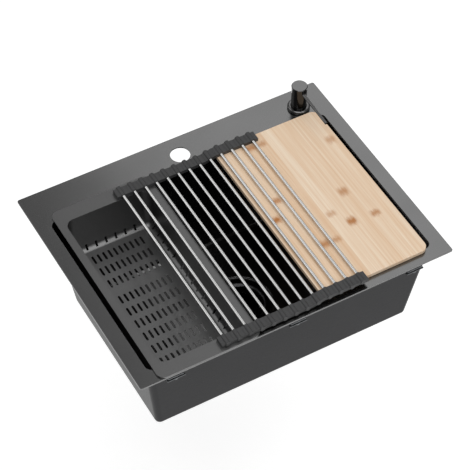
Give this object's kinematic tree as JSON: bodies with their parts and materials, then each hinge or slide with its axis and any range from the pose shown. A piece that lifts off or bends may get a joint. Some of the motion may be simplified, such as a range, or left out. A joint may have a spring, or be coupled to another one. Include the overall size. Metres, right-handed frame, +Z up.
{
  "type": "workstation kitchen sink",
  "caption": "Single-bowl steel drop-in sink with a deck, tap hole, basket strainer, soap dispenser, sliding colander, bamboo board and roll-up draining rack.",
  "frame": {"origin": "middle of the deck's plan, in the plane of its underside, which rests on the worktop", "axes": "+X right, +Y back towards the tap hole, +Z up"},
  "size_m": [0.58, 0.447, 0.393],
  "materials": {
    "deck_steel": "brushed",
    "bowl_steel": "satin",
    "drain_steel": "polished",
    "colander_steel": "dark satin",
    "rod_steel": "satin",
    "zinc": "plated",
    "rubber": "matt",
    "silicone": "matt",
    "bamboo": "oiled",
    "fibre": "raw",
    "black_metal": "gloss",
    "white_plastic": "moulded"
  },
  "bodies": {
    "sink": {"deck_panel": "deck_steel", "bowl": "bowl_steel", "sound_pads": "rubber", "clip_brackets": "zinc", "clip_claws": "zinc", "clip_screws": "zinc", "strainer_body": "drain_steel", "strainer_gasket": "rubber", "fibre_washer": "fibre", "lock_nut": "zinc", "tailpiece": "drain_steel", "tailpiece_washer": "white_plastic", "coupling_nut": "zinc", "soap_base": "black_metal", "soap_gasket": "rubber", "soap_washer": "rubber", "soap_nut": "white_plastic", "soap_bottle": "white_plastic", "pump_cylinder": "white_plastic", "dip_tube": "white_plastic", "pump_spring": "drain_steel"},
    "drain_basket": {"basket": "drain_steel", "basket_stopper": "rubber", "basket_knob": "drain_steel"},
    "colander": {"colander": "colander_steel"},
    "board": {"bamboo_board": "bamboo"},
    "pump_plunger": {"pump_piston": "white_plastic"},
    "soap_top": {"pump_head": "black_metal", "soap_spout": "black_metal"},
    "rack_link_01": {"rack_rod_01": "rod_steel", "rack_caps_01": "silicone"},
    "rack_link_02": {"rack_rod_02": "rod_steel", "rack_caps_02": "silicone"},
    "rack_link_03": {"rack_rod_03": "rod_steel", "rack_caps_03": "silicone"},
    "rack_link_04": {"rack_rod_04": "rod_steel", "rack_caps_04": "silicone"},
    "rack_link_05": {"rack_rod_05": "rod_steel", "rack_caps_05": "silicone"},
    "rack_link_06": {"rack_rod_06": "rod_steel", "rack_caps_06": "silicone"},
    "rack_link_07": {"rack_rod_07": "rod_steel", "rack_caps_07": "silicone"},
    "rack_link_08": {"rack_rod_08": "rod_steel", "rack_caps_08": "silicone"},
    "rack_link_09": {"rack_rod_09": "rod_steel", "rack_caps_09": "silicone"},
    "rack_link_10": {"rack_rod_10": "rod_steel", "rack_caps_10": "silicone"},
    "rack_link_11": {"rack_rod_11": "rod_steel", "rack_caps_11": "silicone"},
    "rack_link_12": {"rack_rod_12": "rod_steel", "rack_caps_12": "silicone"},
    "rack_link_13": {"rack_rod_13": "rod_steel", "rack_caps_13": "silicone"}
  },
  "joints": [
    {"name": "basket_lift", "type": "slide", "parent": "sink", "child": "drain_basket", "axis": [0, 0, 1], "range_m": [0, 0.06]},
    {"name": "colander_slide", "type": "slide", "parent": "sink", "child": "colander", "axis": [1, 0, 0], "range_m": [-0.008, 0.118]},
    {"name": "board_slide", "type": "slide", "parent": "sink", "child": "board", "axis": [1, 0, 0], "range_m": [0, 0.034]},
    {"name": "rack_slide", "type": "slide", "parent": "sink", "child": "rack_link_01", "axis": [1, 0, 0], "range_m": [-0.12, 0]},
    {"name": "pump_press", "type": "slide", "parent": "sink", "child": "pump_plunger", "axis": [0, 0, -1], "range_m": [0, 0.01], "stiffness_N_per_m": 400, "springref_m": -0.012, "deforming": ["pump_spring"]},
    {"name": "spout_swivel", "type": "hinge", "parent": "pump_plunger", "child": "soap_top", "pos_m": [0.235, 0.1815, 0], "axis": [0, 0, 1], "continuous": true},
    {"name": "rack_roll_01", "type": "hinge", "parent": "rack_link_01", "child": "rack_link_02", "pos_m": [-0.12115, 0, 0.00985], "axis": [0, -1, 0], "range_deg": [0, 22]},
    {"name": "rack_roll_02", "type": "hinge", "parent": "rack_link_02", "child": "rack_link_03", "pos_m": [-0.10028, 0, 0.00985], "axis": [0, -1, 0], "range_deg": [0, 22]},
    {"name": "rack_roll_03", "type": "hinge", "parent": "rack_link_03", "child": "rack_link_04", "pos_m": [-0.07941, 0, 0.00985], "axis": [0, -1, 0], "range_deg": [0, 22]},
    {"name": "rack_roll_04", "type": "hinge", "parent": "rack_link_04", "child": "rack_link_05", "pos_m": [-0.05854, 0, 0.00985], "axis": [0, -1, 0], "range_deg": [0, 22]},
    {"name": "rack_roll_05", "type": "hinge", "parent": "rack_link_05", "child": "rack_link_06", "pos_m": [-0.03767, 0, 0.00985], "axis": [0, -1, 0], "range_deg": [0, 22]},
    {"name": "rack_roll_06", "type": "hinge", "parent": "rack_link_06", "child": "rack_link_07", "pos_m": [-0.0168, 0, 0.00985], "axis": [0, -1, 0], "range_deg": [0, 22]},
    {"name": "rack_roll_07", "type": "hinge", "parent": "rack_link_07", "child": "rack_link_08", "pos_m": [0.00407, 0, 0.00985], "axis": [0, -1, 0], "range_deg": [0, 22]},
    {"name": "rack_roll_08", "type": "hinge", "parent": "rack_link_08", "child": "rack_link_09", "pos_m": [0.02494, 0, 0.00985], "axis": [0, -1, 0], "range_deg": [0, 22]},
    {"name": "rack_roll_09", "type": "hinge", "parent": "rack_link_09", "child": "rack_link_10", "pos_m": [0.0452, 0, 0.01485], "axis": [0, -1, 0], "range_deg": [0, 22]},
    {"name": "rack_roll_10", "type": "hinge", "parent": "rack_link_10", "child": "rack_link_11", "pos_m": [0.06607, 0, 0.01485], "axis": [0, -1, 0], "range_deg": [0, 22]},
    {"name": "rack_roll_11", "type": "hinge", "parent": "rack_link_11", "child": "rack_link_12", "pos_m": [0.08694, 0, 0.01485], "axis": [0, -1, 0], "range_deg": [0, 22]},
    {"name": "rack_roll_12", "type": "hinge", "parent": "rack_link_12", "child": "rack_link_13", "pos_m": [0.10781, 0, 0.01485], "axis": [0, -1, 0], "range_deg": [0, 22]}
  ],
  "couplings": [
    {"joint": "rack_roll_02", "follows": "rack_roll_01", "ratio": 1},
    {"joint": "rack_roll_03", "follows": "rack_roll_01", "ratio": 1},
    {"joint": "rack_roll_04", "follows": "rack_roll_01", "ratio": 1},
    {"joint": "rack_roll_05", "follows": "rack_roll_01", "ratio": 1},
    {"joint": "rack_roll_06", "follows": "rack_roll_01", "ratio": 1},
    {"joint": "rack_roll_07", "follows": "rack_roll_01", "ratio": 1},
    {"joint": "rack_roll_08", "follows": "rack_roll_01", "ratio": 1},
    {"joint": "rack_roll_09", "follows": "rack_roll_01", "ratio": 1},
    {"joint": "rack_roll_10", "follows": "rack_roll_01", "ratio": 1},
    {"joint": "rack_roll_11", "follows": "rack_roll_01", "ratio": 1},
    {"joint": "rack_roll_12", "follows": "rack_roll_01", "ratio": 1}
  ]
}
